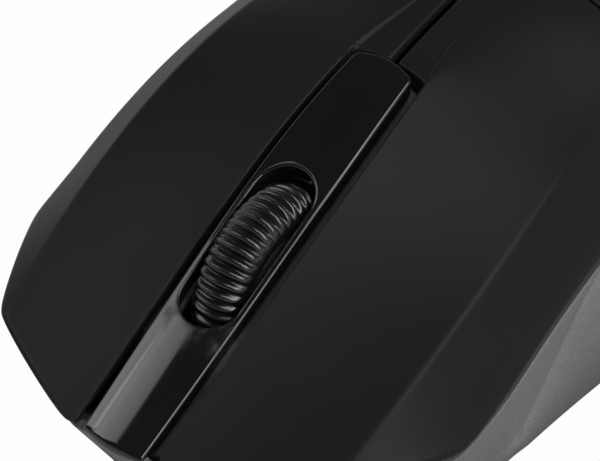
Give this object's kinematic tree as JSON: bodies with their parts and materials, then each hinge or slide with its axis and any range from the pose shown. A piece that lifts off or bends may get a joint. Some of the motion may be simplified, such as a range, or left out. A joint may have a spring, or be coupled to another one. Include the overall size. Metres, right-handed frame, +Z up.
{
  "type": "computer mouse",
  "caption": "Cordless desktop mouse with two long press buttons, a glossy centre strip, a ribbed scroll wheel, a flared grey shell and a battery hatch underneath.",
  "frame": {"origin": "on the desk, under the middle of the mouse", "axes": "+Z up, +Y towards the front where the buttons end, +X to the mouse's right"},
  "size_m": [0.0656, 0.109, 0.0345],
  "materials": {
    "grey_shell": "fine texture",
    "black_cover": "satin",
    "gloss_strip": "polished",
    "wheel_rubber": "ribbed",
    "dark_plastic": "plain",
    "white_plastic": "plain",
    "glide_foot": "smooth",
    "circuit_board": "coated",
    "clear_lens": "clear",
    "red_light": "tinted",
    "steel": "plated",
    "cell": "plain sleeve"
  },
  "bodies": {
    "base": {"base_shell": "grey_shell", "palm_cover": "black_cover", "centre_strip": "gloss_strip", "battery_tray": "dark_plastic", "receiver_sleeve": "dark_plastic", "power_switch_body": "dark_plastic", "left_switch_body": "dark_plastic", "right_switch_body": "dark_plastic", "middle_switch_body": "dark_plastic", "controller_chip": "dark_plastic", "sensor_chip": "dark_plastic", "front_foot_left": "glide_foot", "front_foot_right": "glide_foot", "rear_foot": "glide_foot", "circuit_board": "circuit_board", "sensor_lens": "clear_lens", "sensor_light": "red_light", "cradle_pin": "steel", "case_screw_left": "steel", "case_screw_right": "steel", "board_screw_left": "steel", "board_screw_right": "steel", "front_contact_left": "steel", "front_contact_right": "steel", "rear_bridge": "steel", "contact_spring_left": "steel", "contact_spring_right": "steel", "battery_cell_left": "cell", "battery_cell_right": "cell"},
    "left_button": {"left_button": "black_cover"},
    "right_button": {"right_button": "black_cover"},
    "left_plunger": {"left_switch_plunger": "white_plastic"},
    "right_plunger": {"right_switch_plunger": "white_plastic"},
    "middle_plunger": {"middle_switch_plunger": "white_plastic"},
    "cradle": {"wheel_cradle": "dark_plastic", "encoder_body": "dark_plastic"},
    "wheel": {"wheel_tyre": "wheel_rubber", "wheel_hub": "dark_plastic", "encoder_rotor": "white_plastic"},
    "door": {"battery_door": "grey_shell"},
    "receiver": {"receiver_cap": "dark_plastic", "receiver_plug": "steel"},
    "power": {"power_knob": "white_plastic"}
  },
  "joints": [
    {"name": "left_press", "type": "hinge", "parent": "base", "child": "left_button", "pos_m": [0, -0.021, 0.03125], "axis": [-1, 0, 0], "range_deg": [0, 0.5348], "stiffness_Nm_per_rad": 4},
    {"name": "right_press", "type": "hinge", "parent": "base", "child": "right_button", "pos_m": [0, -0.021, 0.03125], "axis": [-1, 0, 0], "range_deg": [0, 0.5348], "stiffness_Nm_per_rad": 4},
    {"name": "left_click", "type": "slide", "parent": "base", "child": "left_plunger", "axis": [0, 0, -1], "range_m": [0, 0.00056]},
    {"name": "right_click", "type": "slide", "parent": "base", "child": "right_plunger", "axis": [0, 0, -1], "range_m": [0, 0.00056]},
    {"name": "wheel_press", "type": "hinge", "parent": "base", "child": "cradle", "pos_m": [0, 0.01257, 0.01678], "axis": [-1, 0, 0], "range_deg": [0, 1.06], "stiffness_Nm_per_rad": 1.5},
    {"name": "middle_click", "type": "slide", "parent": "base", "child": "middle_plunger", "axis": [0, 0, -1], "range_m": [0, 0.00056]},
    {"name": "wheel_spin", "type": "hinge", "parent": "cradle", "child": "wheel", "pos_m": [0, 0.02637, 0.01903], "axis": [1, 0, 0], "continuous": true},
    {"name": "door_swing", "type": "hinge", "parent": "base", "child": "door", "pos_m": [0, 0.0069, 0.001], "axis": [1, 0, 0], "range_deg": [0, 80]},
    {"name": "receiver_pull", "type": "slide", "parent": "base", "child": "receiver", "axis": [0, 0, -1], "range_m": [0, 0.022]},
    {"name": "power_slide", "type": "slide", "parent": "base", "child": "power", "axis": [0, 1, 0], "range_m": [0, 0.003]}
  ],
  "couplings": [
    {"joint": "left_click", "follows": "left_press", "m_per_rad": 0.055},
    {"joint": "right_click", "follows": "right_press", "m_per_rad": 0.055},
    {"joint": "middle_click", "follows": "wheel_press", "m_per_rad": 0.027}
  ]
}
